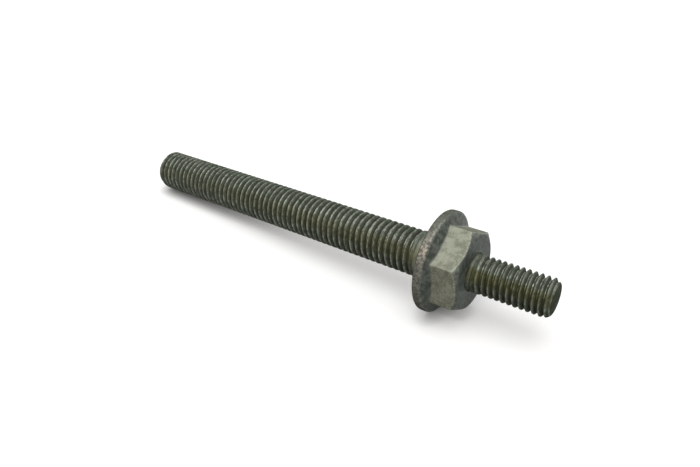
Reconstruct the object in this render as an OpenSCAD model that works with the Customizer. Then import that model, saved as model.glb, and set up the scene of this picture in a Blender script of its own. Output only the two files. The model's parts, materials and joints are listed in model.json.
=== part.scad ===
// Collar stud, one cold-formed steel piece: a flanged hexagon between a long thread and a thinner short one.
// It lies as it comes to rest, on the rim of its flange and the tip of its long end.
// Its own axis runs from the long tip to the short tip, with zero at the collar's seat.

/* [Long end] */
// Outside diameter of the long thread
long_d = 10; // [9:0.5:12]
// Pitch of the long thread
long_pitch = 1.5; // [1:0.25:1.75]
// Turn about the axis at which the long thread starts, in degrees
long_start = 141; // [0:1:359]
// Length from the collar's seat to the long tip
long_len = 84; // [40:1:120]
// Length of the plain neck under the seat
long_neck_len = 3.4; // [1:0.1:6]
// Diameter of the flat at the long tip
long_tip_d = 7.2; // [4:0.1:8.5]
// Length of the lead-in cone at the long tip
long_lead = 1.4; // [0.5:0.1:4]

/* [Short end] */
// Outside diameter of the short thread
short_d = 8; // [7:0.5:10]
// Pitch of the short thread
short_pitch = 1.25; // [1:0.25:1.5]
// Turn about the axis at which the short thread starts, in degrees
short_start = 117; // [0:1:359]
// Length from the hexagon's front to the short tip
short_len = 16.8; // [8:0.1:40]
// Length of the plain neck in front of the hexagon
short_neck_len = 0.7; // [0.6:0.1:4]
// Diameter of the flat at the short tip
short_tip_d = 6.5; // [3:0.1:6.5]
// Length of the lead-in cone at the short tip
short_lead = 1.2; // [0.5:0.1:3]

/* [Tips] */
// Height of the shallow crown on the end of each tip
tip_crown = 0.25; // [0.1:0.05:0.6]

/* [Necks] */
// Depth of the necks under the outside of each thread
neck_depth = 0.25; // [0.1:0.05:0.8]
// Radius of the fillet where a neck meets the collar
neck_fillet = 0.5; // [0.1:0.05:0.8]

/* [Collar] */
// Diameter of the flange
flange_d = 21.8; // [20:0.1:30]
// Height of the flange's upright rim
rim_h = 1.7; // [1.2:0.1:2.5]
// Radius that rounds both edges of the rim
rim_round = 0.4; // [0.1:0.05:0.5]
// Slope of the flange from the rim up to the hexagon, in degrees
flange_slope = 24; // [10:1:40]
// Width of the hexagon across its flats
hex_af = 16; // [14:0.5:17]
// Height of the collar from its seat to the hexagon's front
collar_h = 8.2; // [7:0.1:14]
// Diameter of the round face at the hexagon's front
front_d = 15.4; // [12:0.1:15.8]
// Slope of the chamfer that cuts the hexagon's front corners, in degrees
chamfer_slope = 33; // [10:1:40]

/* [Hidden] */
$fn = 96;
finish = "#5f6355";
flange_r = flange_d / 2;
hex_corner_r = hex_af / 2 / cos(30);
// Solids that join reach this far into each other
join = 0.5;

// Rolled metric thread with broad crests, as shares of the pitch
groove_depth = 0.5413;
groove_root_w = 0.15;
crest_w = 0.22;
flank_angle = 30;
// The groove's cutter stands proud of the crests by this share, which keeps its turns apart
cutter_proud = 0.06;
steps_per_turn = 20;

// Resting place: a straight floor line touches the rounded rim and the start of the long tip's cone.
rim_run = rim_round + long_len - long_lead;
rim_rise = flange_r - rim_round - long_d / 2;
lie_tilt = atan2(rim_rise, rim_run) + asin(rim_round / norm([rim_run, rim_rise]));
axis_h = (flange_r - rim_round) * cos(lie_tilt) + rim_round - rim_round * sin(lie_tilt);
// Radius of the crown's curve over a tip of radius r
function crown_r(r) = (r * r + tip_crown * tip_crown) / (2 * tip_crown);
// Reach of the tilted stud along the floor, to a tip of radius r at distance len from the seat
function reach(len, r) =
    lie_tilt < asin(r / crown_r(r))
        ? (len - crown_r(r)) * cos(lie_tilt) + crown_r(r)
        : (len - tip_crown) * cos(lie_tilt) + r * sin(lie_tilt);
long_reach = reach(long_len, long_tip_d / 2);
short_reach = reach(collar_h + short_len, short_tip_d / 2);

// Concave quarter round at the foot of a neck of radius r, which stands on the collar's face at height 0
module neck_fillet_profile(r) {
    difference() {
        translate([r - join, -join]) square(neck_fillet + join);
        translate([r + neck_fillet, neck_fillet]) circle(neck_fillet);
    }
}

// Crown on a tip whose lead-in cone ends with radius r at height 0
module crown_profile(r) {
    intersection() {
        translate([0, -join]) square([r, tip_crown + join]);
        translate([0, tip_crown - crown_r(r)]) circle(crown_r(r));
    }
}

// One end before its thread is cut, standing on the collar: neck, full diameter, lead-in cone, crown
module blank_end(d, len, neck_len, tip_d, lead) {
    r = d / 2;
    neck_r = r - neck_depth;
    cone_end = len - tip_crown;
    rotate_extrude() {
        polygon([
            [0, -join],
            [neck_r, -join],
            [neck_r, neck_len],
            [r, neck_len + neck_depth],
            [r, len - lead],
            [tip_d / 2, cone_end],
            [0, cone_end],
        ]);
        neck_fillet_profile(neck_r);
        translate([0, cone_end]) crown_profile(tip_d / 2);
    }
}

// Groove's section [radius, height] at one step, sinking to its full depth over the first turn
function groove_section(d, pitch, step) =
    let (
        lift = groove_depth * pitch * max(0, 1 - step / steps_per_turn),
        root_r = d / 2 - groove_depth * pitch + lift,
        top_r = d / 2 + cutter_proud * pitch + lift,
        root_h = groove_root_w * pitch / 2,
        top_h = (1 - crest_w) * pitch / 2 + cutter_proud * pitch * tan(flank_angle)
    )
    [[root_r, -root_h], [top_r, -top_h], [top_r, top_h], [root_r, root_h]];

// Right-hand helical cutter, from its run-out at the end of the neck to past the tip at height len
module thread_groove(d, pitch, neck_len, len) {
    last = ceil((len - neck_len) / pitch + 1) * steps_per_turn;
    points = [
        for (step = [0:last], p = groove_section(d, pitch, step))
            let (turn = 360 * step / steps_per_turn)
            [p[0] * cos(turn), p[0] * sin(turn), neck_len + p[1] + pitch * step / steps_per_turn]
    ];
    sides = [
        for (step = [0:last - 1], side = [0:3])
            let (a = 4 * step + side, b = 4 * step + (side + 1) % 4)
            each [[a, b, b + 4], [a, b + 4, a + 4]]
    ];
    first_cap = [3, 2, 1, 0];
    last_cap = [for (corner = [0:3]) 4 * last + corner];
    polyhedron(points, concat(sides, [first_cap, last_cap]), convexity = 10);
}

module threaded_end(d, pitch, start, len, neck_len, tip_d, lead) {
    difference() {
        blank_end(d, len, neck_len, tip_d, lead);
        rotate([0, 0, start]) thread_groove(d, pitch, neck_len, len);
    }
}

// Flange with its seat at height 0: rounded rim, then a cone that rises to the hexagon
module flange() {
    // How far the upper rounding runs along the rim and along the cone
    edge_run = rim_round / tan((90 + flange_slope) / 2);
    cone_top_r = hex_af / 2 - join;
    rotate_extrude() {
        polygon([
            [0, 0],
            [flange_r - rim_round, 0],
            [flange_r, rim_round],
            [flange_r, rim_h - edge_run],
            [flange_r - edge_run * cos(flange_slope), rim_h + edge_run * sin(flange_slope)],
            [cone_top_r, rim_h + (flange_r - cone_top_r) * tan(flange_slope)],
            [0, rim_h + (flange_r - cone_top_r) * tan(flange_slope)],
        ]);
        translate([flange_r - rim_round, rim_round]) circle(rim_round);
        translate([flange_r - rim_round, rim_h - edge_run]) circle(rim_round);
    }
}

// Hexagon with its front corners cut back by a cone
module hexagon() {
    cone_r = hex_corner_r + join;
    intersection() {
        translate([0, 0, rim_h]) cylinder(r = hex_corner_r, h = collar_h - rim_h, $fn = 6);
        rotate_extrude() polygon([
            [0, 0],
            [cone_r, 0],
            [cone_r, collar_h - (cone_r - front_d / 2) * tan(chamfer_slope)],
            [front_d / 2, collar_h],
            [0, collar_h],
        ]);
    }
}

module long_end() {
    rotate([180, 0, 0])
        threaded_end(long_d, long_pitch, long_start, long_len, long_neck_len, long_tip_d, long_lead);
}

module short_end() {
    translate([0, 0, collar_h])
        threaded_end(short_d, short_pitch, short_start, short_len, short_neck_len, short_tip_d, short_lead);
}

// Lays the stud's axis down along X, with the origin under the middle of the whole stud
module lay_down() {
    translate([(long_reach - short_reach) / 2, 0, axis_h]) rotate([0, 90 - lie_tilt, 0]) children();
}

module collar_stud() {
    color(finish) lay_down() {
        long_end();
        flange();
        hexagon();
        short_end();
    }
}

collar_stud();
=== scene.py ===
import json
import math
from typing import NamedTuple

import bpy
from mathutils import Matrix, Vector


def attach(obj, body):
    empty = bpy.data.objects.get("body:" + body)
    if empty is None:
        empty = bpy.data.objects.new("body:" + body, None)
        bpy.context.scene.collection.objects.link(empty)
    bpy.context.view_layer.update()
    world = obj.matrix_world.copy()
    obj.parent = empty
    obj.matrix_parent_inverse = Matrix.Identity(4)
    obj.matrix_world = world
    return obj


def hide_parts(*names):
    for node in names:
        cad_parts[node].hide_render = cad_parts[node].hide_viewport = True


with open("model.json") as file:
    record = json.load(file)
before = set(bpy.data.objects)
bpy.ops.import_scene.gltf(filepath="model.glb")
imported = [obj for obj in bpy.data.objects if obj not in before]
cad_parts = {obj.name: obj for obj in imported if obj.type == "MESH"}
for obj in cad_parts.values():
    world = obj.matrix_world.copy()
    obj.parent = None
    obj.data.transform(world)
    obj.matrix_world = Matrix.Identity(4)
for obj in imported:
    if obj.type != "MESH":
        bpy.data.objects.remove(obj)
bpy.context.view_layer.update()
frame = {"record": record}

# Sizes are in millimetres, which MM turns into metres, and follow the part's source. The skin adds
# small roundings, and its threads differ as the photo shows them: their grooves are deeper, with
# rounded crests, and the short one starts at another angle.
MM = 0.001


class End(NamedTuple):
    """One threaded end, standing on a face of the collar at height 0.

    Its start is an angle in degrees, and its wear and its olive band, partly staining and partly
    painted warm light, are shares of the full look.
    """
    d: float
    pitch: float
    start: float
    length: float
    neck: float
    tip_d: float
    lead: float
    wear: float
    stain: float


LONG = End(d=10.0, pitch=1.5, start=141.0, length=84.0, neck=3.4, tip_d=7.2, lead=1.4,
           wear=0.62, stain=0.75)
SHORT = End(d=8.0, pitch=1.25, start=50.0, length=16.8, neck=0.7, tip_d=6.5, lead=1.2,
            wear=0.42, stain=1.0)
TIP_CROWN = 0.25
NECK_DEPTH = 0.25
NECK_FILLET = 0.5

# The skin stays this far inside the solid at the flange's rim and the tips
INSET = 0.012

FLANGE_R = 21.8 / 2 - INSET
RIM_H = 1.7
RIM_ROUND = 0.4
FLANGE_SLOPE = math.radians(24)
HEX_AF = 16.0
COLLAR_H = 8.2
FRONT_R = 15.4 / 2
CHAMFER_SLOPE = math.radians(33)
SECTORS = 6
SECTOR = math.radians(360 / SECTORS)
# Small roundings that soften the formed edges
HEX_CORNER_ROUND = 0.2
HEX_FOOT_ROUND = 0.3
HEX_FRONT_ROUND = 0.12
TIP_ROUND = 0.25

# Thread form: depth of the groove, and where its flanks start and end from its middle, as shares
# of the pitch, then the rounding of both ends of a flank, as a share of the flank's width
GROOVE_DEPTH = 0.6134
FLANK_FOOT = 0.06
FLANK_TOP = 0.43
FLANK_SOFTNESS = 0.08

# Mesh columns round each end, steps of its fillet, and places of its rows within one pitch
COLUMNS = 72
FILLET_STEPS = 4
THREAD_ROWS = (0.0, 0.045, 0.085, 0.15, 0.24, 0.33, 0.40, 0.435, 0.47,
               0.53, 0.565, 0.60, 0.67, 0.76, 0.85, 0.915, 0.955)
# Those rows reach back over the neck by this many pitches, and keep off the fillet and the tip
NECK_PITCHES = 3
FILLET_GAP = 0.1
TIP_GAP = 0.08
# Three rows over a tip's rounded edge: drop of the lowest and insets of all three, as shares of
# the rounding, and how far the middle one lies under the crown's edge
TIP_EDGE_DROP = 0.25
TIP_EDGE_INSETS = (0.05, 0.4, 1.2)
TIP_EDGE_SINK = 0.02
# Rings that close a tip, as shares of its radius
TIP_RINGS = (0.72, 0.48, 0.24)

# Columns of the collar from a hexagon corner towards the middle of a flat, in degrees
SECTOR_COLUMNS = (0.0, 0.32, 0.64, 1.1, 3.0, 7.0, 11.5, 16.0, 21.0, 25.5)
# Outermost row of the seat, in from the flange's edge, in roundings of the rim
SEAT_ROW_IN = 2
# Steps of the rim's two rounded edges
SEAT_EDGE_STEPS = 4
UPPER_EDGE_STEPS = 3
# Rows of the cone and of a flat, as shares of their lengths
CONE_ROWS = (0.12, 0.5, 0.88)
FLAT_ROWS = (0.06, 0.35, 0.65, 0.94)
# Rows in and just past the hexagon's roundings, as shares of their radii
FOOT_OUT, FOOT_UP = 0.3, 0.12
FRONT_IN, FRONT_PAST = 0.35, 1.3
# Rows to both sides of the front face's edge and further in, and the least gap between two rows
FRONT_EDGE_HALF = 0.1
FRONT_INNER = 0.6
LEAST_GAP = 0.02
# The seat and the front start this far out from the fillets of the ends
FACE_MARGIN = 0.4

# Names of the shades that the skin's vertices carry to its materials. The valley shade also
# carries painted shade, and the edge shade painted highlights
SHADES = ("valley", "edge", "flat", "rim", "sheen", "stain")
# Material slots of the skin, and the sum of sheen and flatness over which a vertex is worked
COAT, WORKED = 0, 1
WORKED_OVER = 0.5

# Shares of the groove's depth at which crest wear and the painted root highlight begin and are
# full
CREST_BAND = (0.30, 0.05)
ROOT_HIGHLIGHT_BAND = (0.92, 0.97)
ROOT_PAINTED_HIGHLIGHT = 0.9
# Angles from straight up at which the painted root highlight begins and is full, on the side
# turned up
ROOT_HIGHLIGHT_FACING = (math.radians(75), math.radians(50))
# Necks are part of the way to the smooth, pale flats, and fade over this length to each side
NECK_BARE = 0.4
NECK_FADE = 0.3
# Olive band on the ends, partly staining and partly painted warm light: angle of its middle from
# straight up towards the front, half width, half width of its full part, and fade per millimetre
STAIN_AND_LIGHT_ANGLE = math.radians(62)
STAIN_AND_LIGHT_REACH = math.radians(32)
STAIN_AND_LIGHT_CORE = 0.3 * STAIN_AND_LIGHT_REACH
STAIN_AND_LIGHT_FADE = 0.008
# How far a bare neck holds off the olive band, and how far the band dulls the wear as painted
# shade
NECK_HOLDS_OFF = 0.6
BAND_DULLS_WEAR = 0.35
# Painted shade on the lead-in cones, the share of their length on which it is full, and on the
# tips
LEAD_PAINTED_SHADE = 0.65
LEAD_SHADE_FULL = 0.5
TIP_PAINTED_SHADE = 0.5
# Wear on the rounded edge of a tip, its place under the cone's end, and where it ends and is full
TIP_WEAR = 0.5
TIP_WEAR_DROP = 0.2 * TIP_ROUND
TIP_WEAR_BAND = (0.08, 0.04)

# Angles from straight up, towards the front, between which the collar's rim and flats go from
# painted shade on the top and back to their full look, and the shares of that look kept in the
# shade
TOP_SHADE_BAND = (math.radians(-5), math.radians(22))
SHADED_RIM_SHARE = 0.2
SHADED_FLAT_SHARE = 0.8
# Shades of the rows from the hexagon's foot, up a flat and over its front edge to the chamfer
FOOT_LOOK = {"flat": 0.3}
FLAT_LOW_LOOK = {"edge": 0.2, "flat": 0.8}
FLAT_LOOK = {"flat": 1.0}
FLAT_HIGH_LOOK = {"edge": 0.4, "flat": 1.0}
FRONT_EDGE_LOOK = {"edge": 0.6, "flat": 0.5}
CHAMFER_LOOK = {"edge": 0.4, "flat": 0.1}
# Wear on the rim's upper edge, and the heights between which it sets in
RIM_EDGE_WEAR = 0.2
RIM_EDGE_BAND = (RIM_H - 0.3, RIM_H - 0.05)
# Painted highlight on that edge: added share of the bright look, angle of its middle from straight
# up towards the front, half width, and half width of its full part
EDGE_PAINTED_HIGHLIGHT = 2.2
EDGE_HIGHLIGHT_ANGLE = math.radians(14)
EDGE_HIGHLIGHT_REACH = math.radians(30)
EDGE_HIGHLIGHT_CORE = 0.2 * EDGE_HIGHLIGHT_REACH
# Heights at which the painted shadow in the seat's rounded edge ends and is full
SEAT_SHADOW_BAND = (0.36, 0.12)


class Skin:
    """Vertices, faces and per-vertex shades of the stud's one closed surface."""

    def __init__(self):
        self.points = []
        self.faces = []
        self.shades = {name: [] for name in SHADES}

    def add(self, point, **shades):
        self.points.append(point)
        for name, values in self.shades.items():
            values.append(shades.get(name, 0.0))
        return len(self.points) - 1

    def finishes(self):
        """Material of each face: WORKED on the ends, rim and flats, and COAT on the rest."""
        shades = zip(self.shades["sheen"], self.shades["flat"])
        worked = [sheen + flat > WORKED_OVER for sheen, flat in shades]
        return [WORKED if all(worked[v] for v in face) else COAT for face in self.faces]

    def stitch(self, left, right):
        """Join two chains of (key, vertex), both sorted by key, with triangles."""
        i = j = 0
        while i + 1 < len(left) or j + 1 < len(right):
            go_left = j + 1 == len(right) or (
                i + 1 < len(left)
                and abs(left[i + 1][0] - right[j][0]) <= abs(right[j + 1][0] - left[i][0]))
            if go_left:
                self.faces.append((left[i][1], right[j][1], left[i + 1][1]))
                i += 1
            else:
                self.faces.append((left[i][1], right[j][1], right[j + 1][1]))
                j += 1


def polar(r, angle, height):
    return Vector((r * math.cos(angle), r * math.sin(angle), height))


def from_top(direction):
    """Angle of a direction from straight up, towards the front."""
    return math.atan2(-direction.y, direction.z)


def soft_step(t, softness):
    """Straight ramp from 0 to 1 over t, with both its corners rounded."""
    return (math.hypot(t, softness) - math.hypot(t - 1, softness) + 1) / 2


def smooth(low, high, value):
    """Smooth ramp from 0 at low to 1 at high, which may lie either way round."""
    t = min(1.0, max(0.0, (value - low) / (high - low)))
    return t * t * (3 - 2 * t)


def turns_from_start(end, angle):
    return (angle - math.radians(end.start)) / math.tau % 1.0


def blank_radius(end, height):
    """Radius before the thread is cut: neck, shoulder, full diameter, lead-in cone."""
    r = end.d / 2
    shoulder = r - NECK_DEPTH + max(0.0, height - end.neck)
    to_tip = (end.length - TIP_CROWN - height) / (end.lead - TIP_CROWN)
    cone = end.tip_d / 2 + (r - end.tip_d / 2) * to_tip
    return min(r, shoulder, cone)


def crown_height(end, r):
    """Height of the shallow crown on the tip, at a distance r from the axis."""
    tip_r = end.tip_d / 2
    curve = (tip_r ** 2 + TIP_CROWN ** 2) / (2 * TIP_CROWN)
    return end.length - INSET - curve + math.sqrt(curve ** 2 - r ** 2)


def groove_share(end, height, angle):
    """Depth of the groove at a point, from 0 on the crest to 1 at the root."""
    turns = turns_from_start(end, angle)
    place = (height - end.neck) / end.pitch - turns
    groove = round(place)
    off_middle = abs(place - groove)
    along = groove + turns
    if along < 0:
        return 0.0
    share = soft_step((FLANK_TOP - off_middle) / (FLANK_TOP - FLANK_FOOT), FLANK_SOFTNESS)
    return max(0.0, share - max(0.0, 1 - along))


def fillet_rows(end):
    """Rows of the fillet at the foot of a neck."""
    neck_r = end.d / 2 - NECK_DEPTH
    turns = [math.radians(90 * step / FILLET_STEPS) for step in range(FILLET_STEPS + 1)]
    return [
        (NECK_FILLET * (1 - math.cos(turn)), neck_r + NECK_FILLET * (1 - math.sin(turn)), 0.0)
        for turn in turns
    ]


def thread_rows(end, angle):
    """Rows of the neck, the thread and the lead-in cone, which follow the helix."""
    first = NECK_FILLET + FILLET_GAP
    last = end.length - TIP_CROWN - TIP_ROUND - TIP_GAP
    turns = turns_from_start(end, angle)
    rows = []
    for pitch_no in range(-NECK_PITCHES, int(end.length / end.pitch) + 1):
        for row in THREAD_ROWS:
            height = end.neck + end.pitch * (turns + pitch_no + row)
            if first < height < last:
                share = groove_share(end, height, angle)
                grooved = end.d / 2 - GROOVE_DEPTH * end.pitch * share
                rows.append((height, min(grooved, blank_radius(end, height)), share))
    return rows


def tip_edge_rows(end):
    """Rows over the rounded edge between the lead-in cone and the crown."""
    cone_end = end.length - TIP_CROWN
    tip_r = end.tip_d / 2
    low_r, middle_r, high_r = (tip_r - inset * TIP_ROUND for inset in TIP_EDGE_INSETS)
    return [
        (cone_end - TIP_ROUND, blank_radius(end, cone_end - TIP_ROUND), 0.0),
        (cone_end - TIP_EDGE_DROP * TIP_ROUND, low_r, 0.0),
        (crown_height(end, tip_r) - TIP_EDGE_SINK, middle_r, 0.0),
        (crown_height(end, high_r), high_r, 0.0),
    ]


def end_rows(end, angle):
    """One column as (height, radius, groove share), from the collar to the tip's edge."""
    return fillet_rows(end) + thread_rows(end, angle) + tip_edge_rows(end)


def crest_wear(end, height, share):
    """Crests show bright wear, less so on the run-out and on the lead-in."""
    past_neck = smooth(end.neck, end.neck + end.pitch, height)
    off_tip = smooth(0, end.lead, end.length - height)
    return end.wear * past_neck * off_tip * smooth(*CREST_BAND, share)


def painted_root_highlight(end, height, share, facing):
    """Painted highlight: a fine bright line on the groove's rolled root, on the side turned up."""
    past_neck = smooth(end.neck, end.neck + end.pitch, height)
    return ROOT_PAINTED_HIGHLIGHT * past_neck * smooth(*ROOT_HIGHLIGHT_BAND, share) * smooth(*ROOT_HIGHLIGHT_FACING, abs(facing))


def tip_wear(end, height):
    """The rounded edge of a tip shows bright wear."""
    edge = end.length - TIP_CROWN - TIP_WEAR_DROP
    return TIP_WEAR * smooth(*TIP_WEAR_BAND, abs(height - edge))


def bare_share(end, height):
    """Necks are smoother and paler than the threads."""
    on_neck = smooth(end.neck + NECK_FADE, end.neck - NECK_FADE, height)
    return NECK_BARE * on_neck * smooth(0, NECK_FILLET, height)


def stain_and_warm_light_share(end, height, facing):
    """An olive band, partly staining and partly painted warm light, lies along the side turned up
    and to the front, and fades along the end.
    """
    across = smooth(STAIN_AND_LIGHT_REACH, STAIN_AND_LIGHT_CORE, abs(facing - STAIN_AND_LIGHT_ANGLE))
    return end.stain * across * (1 - STAIN_AND_LIGHT_FADE * height)


def end_shades(end, height, share, facing):
    bare = bare_share(end, height)
    stain_and_warm_lit = stain_and_warm_light_share(end, height, facing) * (1 - NECK_HOLDS_OFF * bare)
    # Wear on the crests and the tip, with the painted highlight on the roots
    wear_and_root_highlight = crest_wear(end, height, share) + painted_root_highlight(end, height, share, facing)
    wear_and_root_highlight = wear_and_root_highlight * (1 - BAND_DULLS_WEAR * stain_and_warm_lit) + tip_wear(end, height)
    # Painted shade on the lead-in cone, darkest towards the tip
    dark_share = LEAD_PAINTED_SHADE * smooth(end.lead, LEAD_SHADE_FULL * end.lead, end.length - height)
    return {"valley": max(share, dark_share), "edge": wear_and_root_highlight, "flat": bare, "sheen": 1.0, "stain": stain_and_warm_lit}


def end_angles():
    return [math.tau * column / COLUMNS for column in range(COLUMNS)]


def add_end(skin, end, place):
    """Build one end, close its tip, and return its foot ring as (angle, vertex)."""
    turn = place.to_3x3()
    chains = []
    for angle in end_angles():
        facing = from_top(turn @ polar(1, angle, 0))
        chain = []
        for height, r, share in end_rows(end, angle):
            shades = end_shades(end, height, share, facing)
            chain.append((height, skin.add(place @ polar(r, angle, height), **shades)))
        chains.append(chain)
    for column in range(COLUMNS):
        skin.stitch(chains[column], chains[(column + 1) % COLUMNS])
    close_tip(skin, [chain[-1][1] for chain in chains], end, place)
    return [(angle, chain[0][1]) for angle, chain in zip(end_angles(), chains)]


def close_tip(skin, rim, end, place):
    """Close a tip with rings over its crown, from the vertices round its edge to its middle."""
    # The tip's crown is darkened with painted shade through its valley shade
    shades = {"valley": TIP_PAINTED_SHADE, "sheen": 1.0}
    middle = skin.add(place @ polar(0, 0, crown_height(end, 0)), **shades)
    for share in TIP_RINGS:
        r = end.tip_d / 2 * share
        height = crown_height(end, r)
        inner = [skin.add(place @ polar(r, angle, height), **shades) for angle in end_angles()]
        for c in range(COLUMNS):
            after = (c + 1) % COLUMNS
            skin.faces.append((rim[c], rim[after], inner[after], inner[c]))
        rim = inner
    for c in range(COLUMNS):
        skin.faces.append((rim[c], rim[(c + 1) % COLUMNS], middle))


class Row(NamedTuple):
    """One row of the collar's section, with its shades."""
    r: float
    h: float
    edge: float = 0.0
    flat: float = 0.0
    rim: float = 0.0


def hex_radius(angle):
    """Distance from the axis to the hexagon's side, with its corners rounded."""
    half = SECTOR / 2
    off_corner = abs((angle + half) % SECTOR - half)
    centre = HEX_AF / 2 / math.cos(half) - HEX_CORNER_ROUND / math.sin(SECTOR)
    arc_end = math.atan2(HEX_CORNER_ROUND * math.sin(half),
                         centre + HEX_CORNER_ROUND * math.cos(half))
    if off_corner < arc_end:
        across = centre * math.sin(off_corner)
        return centre * math.cos(off_corner) + math.sqrt(HEX_CORNER_ROUND ** 2 - across ** 2)
    return HEX_AF / 2 / math.cos(half - off_corner)


def cone_height(r):
    return RIM_H + (FLANGE_R - r) * math.tan(FLANGE_SLOPE)


def chamfer_height(r):
    return COLLAR_H - (r - FRONT_R) * math.tan(CHAMFER_SLOPE)


def arc(centre_r, centre_h, radius, first, last, steps):
    """Points (radius, height) on an arc in the section plane, angles in degrees from outwards."""
    turns = [math.radians(first + (last - first) * k / steps) for k in range(steps + 1)]
    return [(centre_r + radius * math.cos(t), centre_h + radius * math.sin(t)) for t in turns]


def rim_rows():
    """Seat edge, upright rim and its upper edge with wear, up to where the cone starts."""
    slope = math.degrees(FLANGE_SLOPE)
    edge_run = RIM_ROUND / math.tan(math.radians((90 + slope) / 2))
    inner_r = FLANGE_R - RIM_ROUND
    lower = arc(inner_r, RIM_ROUND, RIM_ROUND, -90, 0, SEAT_EDGE_STEPS)
    upper = arc(inner_r, RIM_H - edge_run, RIM_ROUND, 0, 90 - slope, UPPER_EDGE_STEPS)
    return [
        Row(r, h, edge=RIM_EDGE_WEAR * smooth(*RIM_EDGE_BAND, h), rim=1.0)
        for r, h in lower + upper
    ]


def cone_rows(start_r, side_r):
    """Cone from the rim to the rounded foot of the hexagon."""
    end_r = side_r + HEX_FOOT_ROUND
    places = [start_r + (end_r - start_r) * share for share in CONE_ROWS] + [end_r]
    foot_r = side_r + FOOT_OUT * HEX_FOOT_ROUND
    foot = Row(foot_r, cone_height(foot_r) + FOOT_UP * HEX_FOOT_ROUND, **FOOT_LOOK)
    return [Row(r, cone_height(r)) for r in places] + [foot]


def flat_rows(side_r):
    """A flat of the hexagon, or one of its corners."""
    low = cone_height(side_r) + HEX_FOOT_ROUND
    high = chamfer_height(side_r) - HEX_FRONT_ROUND
    between = [Row(side_r, low + (high - low) * share, **FLAT_LOOK) for share in FLAT_ROWS]
    return [Row(side_r, low, **FLAT_LOW_LOOK)] + between + [Row(side_r, high, **FLAT_HIGH_LOOK)]


def chamfer_rows(side_r):
    """Worn front edge of the hexagon and the chamfer inside it."""
    past = side_r - FRONT_PAST * HEX_FRONT_ROUND
    near_front = min(past - LEAST_GAP, FRONT_R + FRONT_EDGE_HALF)
    return [
        Row(side_r - FRONT_IN * HEX_FRONT_ROUND, chamfer_height(side_r), **FRONT_EDGE_LOOK),
        Row(past, chamfer_height(past), **CHAMFER_LOOK),
        Row(near_front, chamfer_height(near_front)),
    ]


def collar_section(angle, seat_r, front_r):
    """Rows of the collar at one angle, from the seat round to the front."""
    side_r = hex_radius(angle)
    outwards = (seat_r, (seat_r + FLANGE_R) / 2, FLANGE_R - SEAT_ROW_IN * RIM_ROUND)
    seat = [Row(r, 0.0) for r in outwards]
    rim = rim_rows()
    cone = cone_rows(rim[-1].r, side_r)
    inwards = (FRONT_R - FRONT_EDGE_HALF, FRONT_R - FRONT_INNER, front_r)
    front = [Row(r, COLLAR_H) for r in inwards]
    return seat + rim + cone + flat_rows(side_r) + chamfer_rows(side_r) + front


def painted_top_shade(facing, least):
    """Painted shade: the collar's rim and flats are darker on the top and back than at the front.
    """
    return least + (1 - least) * smooth(*TOP_SHADE_BAND, facing)


# Painted highlight on the rim's upper edge, strongest about one angle from straight up
def painted_edge_highlight(facing):
    return 1 + EDGE_PAINTED_HIGHLIGHT * smooth(EDGE_HIGHLIGHT_REACH, EDGE_HIGHLIGHT_CORE, abs(facing - EDGE_HIGHLIGHT_ANGLE))


def collar_shades(row, facing, flat_facing):
    """Shades of a row that faces one way, beside a flat that faces another."""
    return {
        "valley": row.rim * smooth(*SEAT_SHADOW_BAND, row.h),
        "edge": row.edge * painted_edge_highlight(facing) if row.rim else row.edge,
        "flat": row.flat * painted_top_shade(flat_facing, SHADED_FLAT_SHARE),
        "rim": row.rim * painted_top_shade(facing, SHADED_RIM_SHARE),
        "sheen": row.rim,
    }


def collar_angles():
    half = [math.radians(a) for a in SECTOR_COLUMNS]
    angles = []
    for sector in range(SECTORS):
        corner = sector * SECTOR
        angles += [corner + a for a in half] + [corner + SECTOR / 2]
        angles += [corner + SECTOR - a for a in reversed(half[1:])]
    return angles


def add_collar(skin, place, long_foot, short_foot):
    """Build the collar and join its seat and front to the feet of the two ends."""
    margin = NECK_FILLET - NECK_DEPTH + FACE_MARGIN
    seat_r, front_r = LONG.d / 2 + margin, SHORT.d / 2 + margin
    turn = place.to_3x3()
    angles = collar_angles()
    columns = []
    for angle in angles:
        facing = from_top(turn @ polar(1, angle, 0))
        flat_facing = from_top(turn @ polar(1, (angle // SECTOR + 0.5) * SECTOR, 0))
        columns.append([
            skin.add(place @ polar(row.r, angle, row.h), **collar_shades(row, facing, flat_facing))
            for row in collar_section(angle, seat_r, front_r)
        ])
    for c, column in enumerate(columns):
        after = columns[(c + 1) % len(columns)]
        for k in range(len(column) - 1):
            skin.faces.append((column[k], after[k], after[k + 1], column[k + 1]))
    seat = [(angle, column[0]) for angle, column in zip(angles, columns)]
    front = [(angle, column[-1]) for angle, column in zip(angles, columns)]
    skin.stitch(closed(seat), closed(long_foot))
    skin.stitch(closed(short_foot), closed(front))


def closed(ring):
    """A ring of (angle, vertex) with its first vertex repeated a full turn on."""
    ring = sorted((angle % math.tau, vertex) for angle, vertex in ring)
    return ring + [(ring[0][0] + math.tau, ring[0][1])]


def stud_place():
    """Placement of the stud's own frame, in millimetres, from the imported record's mounts."""
    mounts = {mount["name"]: mount for mount in frame["record"]["mounts"]}
    seat = mounts["collar_seat"]
    axis = -Vector(seat["axis"])
    sideways = Vector((0, 1, 0))
    turn = Matrix((sideways.cross(axis), sideways, axis)).transposed().to_4x4()
    centre = Vector((seat["pos_m"][0], 0, seat["pos_m"][2])) / MM
    return Matrix.Translation(centre) @ turn


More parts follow.
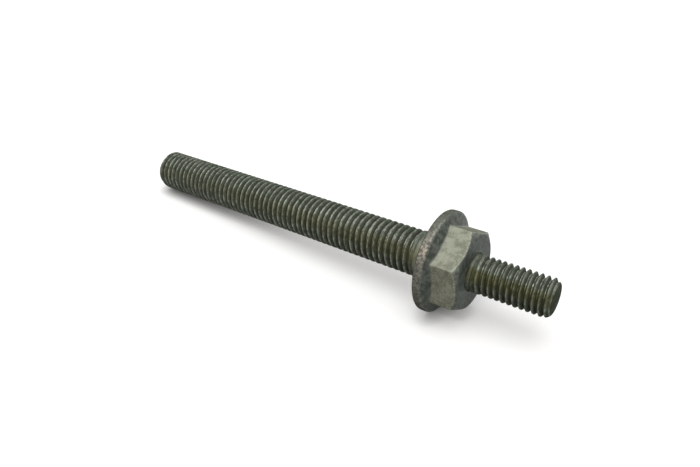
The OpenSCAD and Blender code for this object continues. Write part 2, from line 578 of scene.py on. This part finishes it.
def make_stud():
    """Build the stud's skin as one mesh, whose vertices carry the shades."""
    skin = Skin()
    place = stud_place()
    upside_down = Matrix.Rotation(math.pi, 4, "X")
    long_ring = add_end(skin, LONG, place @ upside_down)
    short_ring = add_end(skin, SHORT, place @ Matrix.Translation((0, 0, COLLAR_H)))
    add_collar(skin, place, [(-angle, vertex) for angle, vertex in long_ring], short_ring)
    mesh = bpy.data.meshes.new("stud_skin")
    mesh.from_pydata([point * MM for point in skin.points], [], skin.faces)
    for name, values in skin.shades.items():
        attribute = mesh.attributes.new(name, "FLOAT", "POINT")
        attribute.data.foreach_set("value", values)
    mesh.polygons.foreach_set("material_index", skin.finishes())
    mesh.shade_smooth()
    mesh.validate()
    piece = bpy.data.objects.new("stud", mesh)
    bpy.context.collection.objects.link(piece)
    return piece


class Nodes:
    """Short calls for adding and linking shader nodes."""

    def __init__(self, tree):
        self.tree = tree
        tree.nodes.clear()

    def put(self, socket, value):
        if isinstance(value, bpy.types.NodeSocket):
            self.tree.links.new(value, socket)
        else:
            socket.default_value = value

    def add(self, kind, inputs=None, **settings):
        node = self.tree.nodes.new(kind)
        for name, value in settings.items():
            setattr(node, name, value)
        for key, value in (inputs or {}).items():
            self.put(node.inputs[key], value)
        return node

    def attribute(self, name):
        return self.add("ShaderNodeAttribute", attribute_name=name).outputs["Fac"]

    def noise(self, where, scale, detail, roughness):
        inputs = {"Vector": where, "Scale": scale, "Detail": detail, "Roughness": roughness}
        return self.add("ShaderNodeTexNoise", inputs).outputs["Fac"]

    def ramp(self, value, low, high, to_low=0.0, to_high=1.0):
        inputs = {"Value": value, "From Min": low, "From Max": high,
                  "To Min": to_low, "To Max": to_high}
        node = self.add("ShaderNodeMapRange", inputs, interpolation_type="SMOOTHSTEP")
        return node.outputs["Result"]

    def math(self, operation, a, b):
        return self.add("ShaderNodeMath", {0: a, 1: b}, operation=operation).outputs["Value"]

    def plus(self, a, b):
        return self.math("ADD", a, b)

    def times(self, a, b):
        return self.math("MULTIPLY", a, b)

    def blend(self, share, a, b):
        """A number that goes from a to b as share goes from 0 to 1."""
        return self.add("ShaderNodeMix", {0: share, 2: a, 3: b}).outputs[0]

    def mix(self, share, a, b, blend="MIX"):
        """A colour that goes from a to b as share goes from 0 to 1."""
        node = self.add("ShaderNodeMix", data_type="RGBA", blend_type=blend)
        for key, value in (("Factor", share), ("A", a), ("B", b)):
            self.put(next(s for s in node.inputs if s.name == key and s.enabled), value)
        return next(s for s in node.outputs if s.enabled)


# Strength and tint of the reflections. The worked steel reflects by its metallic share alone, and
# its tint keeps that low at a grazing angle.
COAT_SPECULAR = 0.2
COAT_TINT = (0.90, 1.0, 0.90, 1)
WORKED_SPECULAR = 0.0
WORKED_TINT = (0.36, 0.38, 0.34, 1)
# Metallic shares of the ends and the rim, and of places of wear and painted highlights
SHEEN_METAL = 0.15
WEAR_AND_HIGHLIGHT_METAL = 0.50

DARK_COAT = (0.070, 0.080, 0.070, 1)
PALE_COAT = (0.158, 0.175, 0.154, 1)
THREAD_DARK = (0.071, 0.081, 0.064, 1)
THREAD_PALE = (0.148, 0.168, 0.133, 1)
FLAT_DARK = (0.208, 0.216, 0.169, 1)
FLAT_PALE = (0.345, 0.360, 0.288, 1)
RIM_DARK = (0.094, 0.096, 0.085, 1)
RIM_PALE = (0.208, 0.204, 0.177, 1)
RIM_BEIGE = (0.275, 0.266, 0.224, 1)
COPPERY = (0.420, 0.355, 0.290, 1)
# Colour of the valley shade: deep in the grooves, and painted shade on the tips, lead-ins and seat
# edge
VALLEY_DARK = (0.062, 0.067, 0.049, 1)
# Bare steel from wear, which also paints the highlights on the roots and the rim's upper edge
WORN_STEEL_AND_HIGHLIGHT = (0.400, 0.430, 0.365, 1)
# Olive band, partly staining and partly painted warm light
OLIVE_STAIN_AND_WARM_LIGHT = (0.84, 0.77, 0.53, 1)

# Noises of the finish: scale per metre, detail, roughness
BLOTCH = (260, 3, 0.6)
MOTTLE = (900, 6, 0.65)
SPECKLE = (1700, 4, 0.6)
GRAIN = (3200, 3, 0.6)
STREAK = (9000, 2, 0.6)
# Fine marks of the thread rolls run around the ends, so their noise is stretched across the axis
STREAK_SHAPE = (1.0, 0.06, 0.06)

# Levels of the noises, or of their sums, between which each part goes from its dark to its pale
# colour and the rim to its patches
COAT_LEVELS = (0.41, 0.60)
THREAD_LEVELS = (0.78, 1.22)
FLAT_LEVELS = (1.30, 1.72)
RIM_LEVELS = (0.82, 1.22)
BEIGE_LEVELS = (0.36, 0.60)
COPPER_LEVELS = (0.36, 0.56)
# Levels of the valley shade over which a place darkens, deep in a groove and under painted shade,
# and how blotches thin that darkening: levels, then shares
VALLEY_LEVELS = (0.30, 0.85)
VALLEY_THINNED = (0.30, 0.55, 0.45, 1.0)
# How fine and coarse noises break up the wear and the painted highlights: levels, then shares
BREAKUP_FINE = (0.40, 0.58, 0.2, 1.0)
BREAKUP_COARSE = (0.34, 0.56, 0.3, 1.0)
# Levels of the mottle, the roughness that they give, and how much smoother the ends and rim are
ROUGHNESS = (0.3, 0.7, 0.46, 0.58)
SHEEN_SMOOTHS = 0.16
# Shares of the mottle and the grain in the fine bumps, and their strength and height
BUMP_MOTTLE = 0.7
BUMP_GRAIN = 0.3
BUMP_STRENGTH = 0.25
BUMP_DISTANCE = 0.12 * MM

# Where the rim is rubbed to beige and copper: angle from straight up, height on the rim, reaches,
# and the share of a reach within which the patch is full
PATCH_ANGLE = math.radians(47)
PATCH_HEIGHT = 0.7
COPPER_REACH = 1.4 * MM
BEIGE_REACH = 4.4 * MM
PATCH_CORE = 0.3


class Finish:
    """Noises and shades that the stud's materials are mixed from."""

    def __init__(self, n):
        self.where = n.add("ShaderNodeTexCoord").outputs["Object"]
        self.blotch = n.noise(self.where, *BLOTCH)
        self.mottle = n.noise(self.where, *MOTTLE)
        self.speckle = n.noise(self.where, *SPECKLE)
        self.grain = n.noise(self.where, *GRAIN)
        stretched = n.add("ShaderNodeMapping", {"Vector": self.where, "Scale": STREAK_SHAPE})
        self.streak = n.noise(stretched.outputs["Vector"], *STREAK)
        self.shade = {name: n.attribute(name) for name in SHADES}


def rim_colour(n, finish):
    """Speckled rim, with a beige and a coppery patch where it is rubbed most."""
    pattern = n.plus(finish.speckle, finish.grain)
    colour = n.mix(n.ramp(pattern, *RIM_LEVELS), RIM_DARK, RIM_PALE)
    # The stud's own angles are counted from straight down
    centre = stud_place() @ polar(FLANGE_R, PATCH_ANGLE + math.pi, PATCH_HEIGHT) * MM
    ends = {0: finish.where, 1: centre}
    away = n.add("ShaderNodeVectorMath", ends, operation="DISTANCE").outputs["Value"]
    for reach, levels, patch in ((BEIGE_REACH, BEIGE_LEVELS, RIM_BEIGE),
                                 (COPPER_REACH, COPPER_LEVELS, COPPERY)):
        near = n.ramp(away, reach, PATCH_CORE * reach)
        colour = n.mix(n.times(near, n.ramp(finish.speckle, *levels)), colour, patch)
    return colour


def clean_colour(n, finish):
    """Colour of the coat, threads, flats and rim, before dirt, wear and stain."""
    mottle, shade = finish.mottle, finish.shade
    coat = n.mix(n.ramp(mottle, *COAT_LEVELS), DARK_COAT, PALE_COAT)
    thread = n.mix(n.ramp(n.plus(mottle, finish.streak), *THREAD_LEVELS), THREAD_DARK, THREAD_PALE)
    pattern = n.plus(n.plus(mottle, finish.grain), finish.blotch)
    flats = n.mix(n.ramp(pattern, *FLAT_LEVELS), FLAT_DARK, FLAT_PALE)
    colour = n.mix(shade["flat"], n.mix(shade["sheen"], coat, thread), flats)
    return n.mix(shade["rim"], colour, rim_colour(n, finish))


def wear_and_highlight_share(n, finish):
    """How far each place shows bare steel, from wear and from painted highlights."""
    fine = n.blend(finish.shade["sheen"], finish.grain, finish.speckle)
    wear_and_highlight = n.times(finish.shade["edge"], n.ramp(fine, *BREAKUP_FINE))
    return n.times(wear_and_highlight, n.ramp(finish.mottle, *BREAKUP_COARSE))


def used_colour(n, finish, wear_and_highlight):
    """Colour of the finish, darker deep in the grooves and under the painted shade, with the wear,
    the painted highlights, and the olive band of staining and painted warm light.
    """
    dark_share = n.times(n.ramp(finish.shade["valley"], *VALLEY_LEVELS),
                   n.ramp(finish.blotch, *VALLEY_THINNED))
    colour = n.mix(dark_share, clean_colour(n, finish), VALLEY_DARK)
    colour = n.mix(wear_and_highlight, colour, WORN_STEEL_AND_HIGHLIGHT)
    return n.mix(finish.shade["stain"], colour, OLIVE_STAIN_AND_WARM_LIGHT, "MULTIPLY")


def phosphate_material(name, specular, tint):
    """Phosphated steel, whose look follows the shades of the skin."""
    material = bpy.data.materials.new(name)
    material.use_nodes = True
    n = Nodes(material.node_tree)
    finish = Finish(n)
    sheen, mottle = finish.shade["sheen"], finish.mottle
    wear_and_highlight = wear_and_highlight_share(n, finish)
    height = n.plus(n.times(mottle, BUMP_MOTTLE), n.times(finish.grain, BUMP_GRAIN))
    bump = n.add("ShaderNodeBump", {
        "Height": height, "Strength": BUMP_STRENGTH, "Distance": BUMP_DISTANCE})
    rough = n.math("SUBTRACT", n.ramp(mottle, *ROUGHNESS), n.times(sheen, SHEEN_SMOOTHS))
    shader = n.add("ShaderNodeBsdfPrincipled", {
        "Base Color": used_colour(n, finish, wear_and_highlight),
        "Roughness": rough,
        "Normal": bump.outputs["Normal"],
        "Metallic": n.plus(n.times(sheen, SHEEN_METAL), n.times(wear_and_highlight, WEAR_AND_HIGHLIGHT_METAL)),
        "Specular IOR Level": specular,
        "Specular Tint": tint,
    })
    n.add("ShaderNodeOutputMaterial", {"Surface": shader.outputs["BSDF"]})
    return material


# The camera, solved from the photo: its place from the middle of the collar's seat in metres, its
# turn and tilt, and its focal length in pixels of the picture
CAMERA_OFFSET = Vector((0.042027, -0.090215, 0.076819))
CAMERA_YAW = math.radians(35.516)
CAMERA_DOWN = math.radians(35.644)
FOCAL_PIXELS = 600
IMAGE_WIDTH = 700
SENSOR_WIDTH = 36.0
CLIP_START = 1 * MM

WHITE = (1.0, 1.0, 1.0, 1)
# Half the width of the floor, in metres
FLOOR_HALF = 3.0
# The floor's colour to the light that it throws back on the stud, and to the rays that show it
FLOOR_COLOUR = (0.14, 0.14, 0.14, 1)
FLOOR_SEEN = (0.72, 0.72, 0.72, 1)
# Share of white that the floor shows by itself, which keeps its shadows light
FLOOR_GLOW = 0.37
# The floor shows a painted contact shadow where something stands this close over it
FLOOR_CONTACT_SHADOW = (0.10, 0.10, 0.10, 1)
CONTACT_REACH = 3.5 * MM
CONTACT_SAMPLES = 8
# Light of the world at the horizon and overhead, and the level at which the world shows itself
HORIZON_LEVEL = 0.07
ZENITH_LEVEL = 0.27
WORLD_SEEN = 1.0


class Lamp(NamedTuple):
    """A soft light, far off in one direction. At strength 1, white that faces it shows white."""
    direction: tuple
    width: float
    strength: float
    colour: tuple = (1.0, 1.0, 1.0)


# The key lights only the stud. The photo's shadows have a wide part and a narrow one, so the floor
# has two lamps of its own. The warm lamp lights both.
KEY = Lamp(direction=(0.0, -0.27, 0.96), width=math.radians(60), strength=0.87)
FLOOR_WIDE = Lamp(direction=(0.0, 0.10, 1.0), width=math.radians(105), strength=0.50)
FLOOR_NARROW = Lamp(direction=(0.0, -0.20, 0.98), width=math.radians(45), strength=0.40)
WARM = Lamp(direction=(-0.10, -0.86, 0.50), width=math.radians(28), strength=0.085,
            colour=(1.0, 0.85, 0.52))


def make_camera():
    data = bpy.data.cameras.new("camera")
    data.sensor_width = SENSOR_WIDTH
    data.lens = FOCAL_PIXELS / IMAGE_WIDTH * SENSOR_WIDTH
    data.clip_start = CLIP_START
    camera = bpy.data.objects.new("camera", data)
    camera.location = stud_place().translation * MM + CAMERA_OFFSET
    camera.rotation_euler = (math.pi / 2 - CAMERA_DOWN, 0, CAMERA_YAW)
    bpy.context.collection.objects.link(camera)
    bpy.context.scene.camera = camera


def seen_ray(n):
    """1 for the rays that show the background itself: camera, glossy and transmission."""
    path = n.add("ShaderNodeLightPath").outputs
    seen = n.math("MAXIMUM", path["Is Camera Ray"], path["Is Glossy Ray"])
    return n.math("MAXIMUM", seen, path["Is Transmission Ray"])


def floor_material():
    material = bpy.data.materials.new("white_floor")
    material.use_nodes = True
    n = Nodes(material.node_tree)
    seen = seen_ray(n)
    contact = n.add("ShaderNodeAmbientOcclusion", {"Distance": CONTACT_REACH},
                    samples=CONTACT_SAMPLES)
    clear = contact.outputs["AO"]
    shown = n.mix(clear, FLOOR_CONTACT_SHADOW, FLOOR_SEEN)
    matt = n.add("ShaderNodeBsdfDiffuse", {"Color": n.mix(seen, FLOOR_COLOUR, shown)})
    glow = n.add("ShaderNodeEmission", {"Strength": n.times(n.times(seen, clear), FLOOR_GLOW)})
    both = n.add("ShaderNodeAddShader", {0: matt.outputs["BSDF"], 1: glow.outputs["Emission"]})
    n.add("ShaderNodeOutputMaterial", {"Surface": both.outputs["Shader"]})
    return material


def make_floor():
    mesh = bpy.data.meshes.new("floor")
    corners = [(-FLOOR_HALF, -FLOOR_HALF, 0), (FLOOR_HALF, -FLOOR_HALF, 0),
               (FLOOR_HALF, FLOOR_HALF, 0), (-FLOOR_HALF, FLOOR_HALF, 0)]
    mesh.from_pydata(corners, [], [(0, 1, 2, 3)])
    mesh.materials.append(floor_material())
    floor = bpy.data.objects.new("floor", mesh)
    bpy.context.collection.objects.link(floor)
    return floor


def make_world():
    world = bpy.data.worlds.new("studio")
    bpy.context.scene.world = world
    world.use_nodes = True
    n = Nodes(world.node_tree)
    direction = n.add("ShaderNodeTexCoord").outputs["Generated"]
    up = n.add("ShaderNodeSeparateXYZ", {"Vector": direction}).outputs["Z"]
    level = n.add("ShaderNodeMapRange", {
        "Value": up, "To Min": HORIZON_LEVEL, "To Max": ZENITH_LEVEL})
    strength = n.blend(seen_ray(n), level.outputs["Result"], WORLD_SEEN)
    background = n.add("ShaderNodeBackground", {"Color": WHITE, "Strength": strength})
    n.add("ShaderNodeOutputWorld", {"Surface": background.outputs["Background"]})


def make_lamp(name, lamp, lit=None):
    """Add a lamp, which lights either everything or the one object that is lit."""
    data = bpy.data.lights.new(name, "SUN")
    data.angle = lamp.width
    data.energy = lamp.strength * math.pi
    data.color = lamp.colour
    softbox = bpy.data.objects.new(name, data)
    softbox.rotation_euler = Vector(lamp.direction).to_track_quat("Z", "Y").to_euler()
    bpy.context.collection.objects.link(softbox)
    if lit:
        receivers = bpy.data.collections.new(name + "_receivers")
        receivers.objects.link(lit)
        softbox.light_linking.receiver_collection = receivers


stud = make_stud()
for slot in (phosphate_material("phosphated_steel_coat", COAT_SPECULAR, COAT_TINT),
             phosphate_material("phosphated_steel_worked", WORKED_SPECULAR, WORKED_TINT)):
    stud.data.materials.append(slot)
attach(stud, "root")
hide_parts("collar_stud")

make_camera()
floor = make_floor()
make_world()
make_lamp("key", KEY, stud)
make_lamp("floor_wide", FLOOR_WIDE, floor)
make_lamp("floor_narrow", FLOOR_NARROW, floor)
make_lamp("warm", WARM)
bpy.context.scene.view_settings.view_transform = "Standard"
